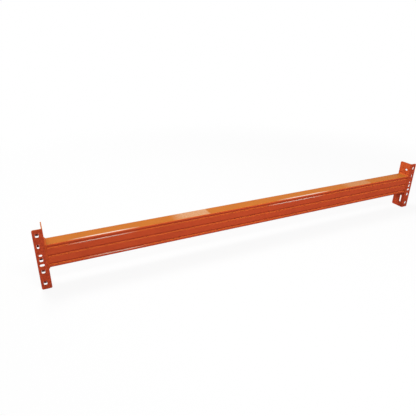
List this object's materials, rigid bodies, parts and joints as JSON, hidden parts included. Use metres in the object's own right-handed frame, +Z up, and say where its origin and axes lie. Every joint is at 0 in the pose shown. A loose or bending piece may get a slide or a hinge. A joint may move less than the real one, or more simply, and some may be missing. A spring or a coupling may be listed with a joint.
{
  "type": "pallet rack beam",
  "caption": "Welded steel box beam with grooved faces and an L-shaped hook connector at each end, for hanging between two pallet rack uprights.",
  "frame": {"origin": "on the floor under the middle of the beam, half way between the connectors' front faces and their back edges", "axes": "+X along the beam, +Y to the back, +Z up"},
  "size_m": [1.916, 0.067, 0.249],
  "materials": {
    "box_paint": "glossy orange powder coat",
    "connector_paint": "orange powder coat over pressed plate, slightly mottled",
    "weld_paint": "orange powder coat over a rippled weld"
  },
  "bodies": {
    "root": {"front_profile": "box_paint", "rear_profile": "box_paint", "left_connector": "connector_paint", "right_connector": "connector_paint", "left_weld": "weld_paint", "right_weld": "weld_paint"}
  },
  "joints": []
}
